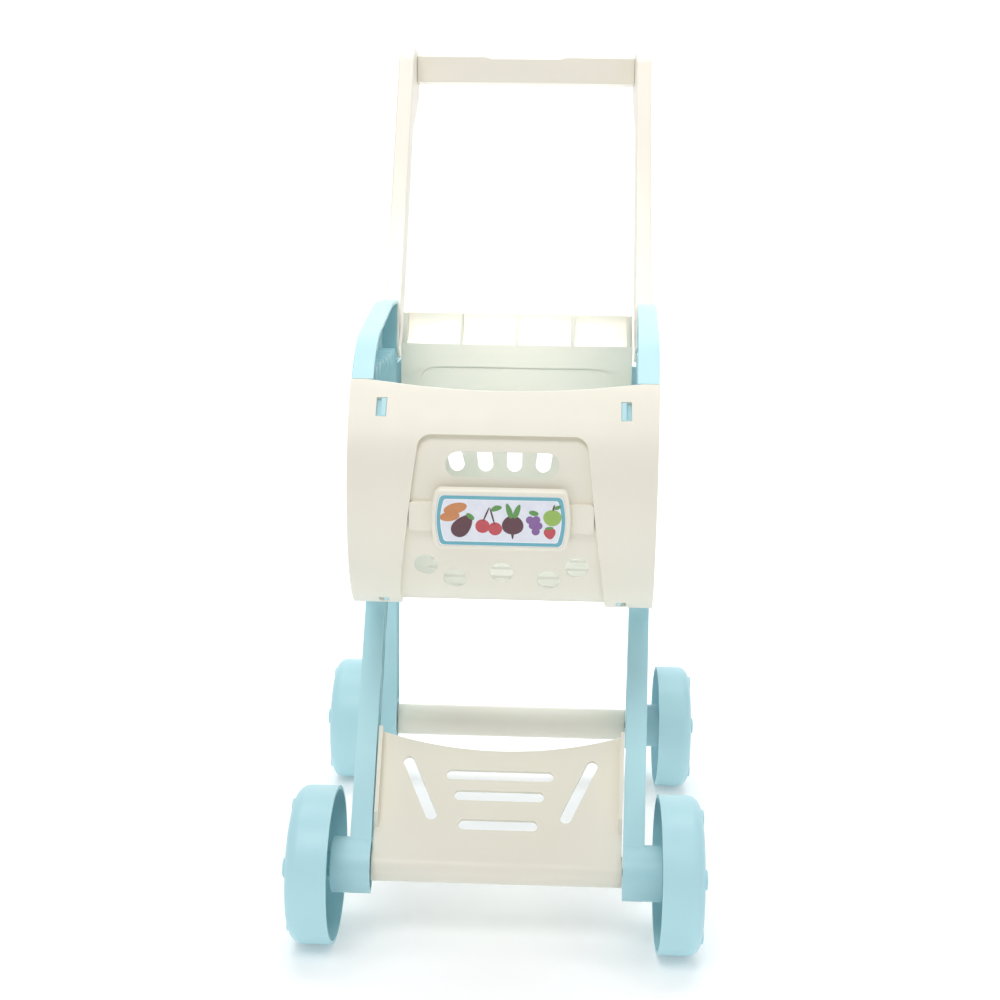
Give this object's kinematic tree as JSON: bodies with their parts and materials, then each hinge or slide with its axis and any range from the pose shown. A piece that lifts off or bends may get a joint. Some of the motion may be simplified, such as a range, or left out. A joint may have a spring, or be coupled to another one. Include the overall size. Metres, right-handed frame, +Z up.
{
  "type": "toy shopping cart",
  "caption": "Child's push-along shopping cart in moulded plastic: slotted side panels, rounded basket front, guard panel, leaning push handle and cup wheels.",
  "frame": {"origin": "centre of the bounding box at floor level, under the cart, where the wheels touch the ground", "axes": "+Z up, +Y back towards the handle (the basket's rounded front faces -Y), +X to the right of somebody who faces the cart's front; left and right in node names are as that person sees them"},
  "size_m": [0.29, 0.4582, 0.582],
  "materials": {
    "ivory_plastic": "satin moulded polypropylene, ivory",
    "ivory_handle_plastic": "satin moulded polypropylene, slightly warmer ivory",
    "sky_blue_plastic": "satin moulded polypropylene, pale sky blue",
    "plated_steel": "zinc-plated steel rod",
    "printed_label": null
  },
  "bodies": {
    "cart_body": {"axle_clip_front_left": "plated_steel", "axle_clip_front_right": "plated_steel", "axle_clip_rear_left": "plated_steel", "axle_clip_rear_right": "plated_steel", "badge_frame": "ivory_plastic", "badge_label": "printed_label", "basket_back": "ivory_plastic", "basket_floor": "ivory_plastic", "basket_front": "ivory_plastic", "front_axle": "plated_steel", "front_rack_panel": "ivory_plastic", "handle_crossbar": "ivory_handle_plastic", "handle_upright_left": "ivory_handle_plastic", "handle_upright_right": "ivory_handle_plastic", "rear_axle": "plated_steel", "rear_cross_tube": "ivory_plastic", "side_panel_left": "sky_blue_plastic", "side_panel_right": "sky_blue_plastic"},
    "front_left_wheel": {"wheel_front_left": "sky_blue_plastic", "hub_cap_front_left": "sky_blue_plastic"},
    "front_right_wheel": {"wheel_front_right": "sky_blue_plastic", "hub_cap_front_right": "sky_blue_plastic"},
    "rear_left_wheel": {"wheel_rear_left": "sky_blue_plastic", "hub_cap_rear_left": "sky_blue_plastic"},
    "rear_right_wheel": {"wheel_rear_right": "sky_blue_plastic", "hub_cap_rear_right": "sky_blue_plastic"}
  },
  "joints": [
    {"name": "front_left_wheel_spin", "type": "hinge", "parent": "cart_body", "child": "front_left_wheel", "pos_m": [-0.1075, -0.18185, 0.0473], "axis": [1, 0, 0], "continuous": true},
    {"name": "front_right_wheel_spin", "type": "hinge", "parent": "cart_body", "child": "front_right_wheel", "pos_m": [0.1075, -0.18185, 0.0473], "axis": [1, 0, 0], "continuous": true},
    {"name": "rear_left_wheel_spin", "type": "hinge", "parent": "cart_body", "child": "rear_left_wheel", "pos_m": [-0.1255, 0.11815, 0.0473], "axis": [1, 0, 0], "continuous": true},
    {"name": "rear_right_wheel_spin", "type": "hinge", "parent": "cart_body", "child": "rear_right_wheel", "pos_m": [0.1255, 0.11815, 0.0473], "axis": [1, 0, 0], "continuous": true}
  ]
}
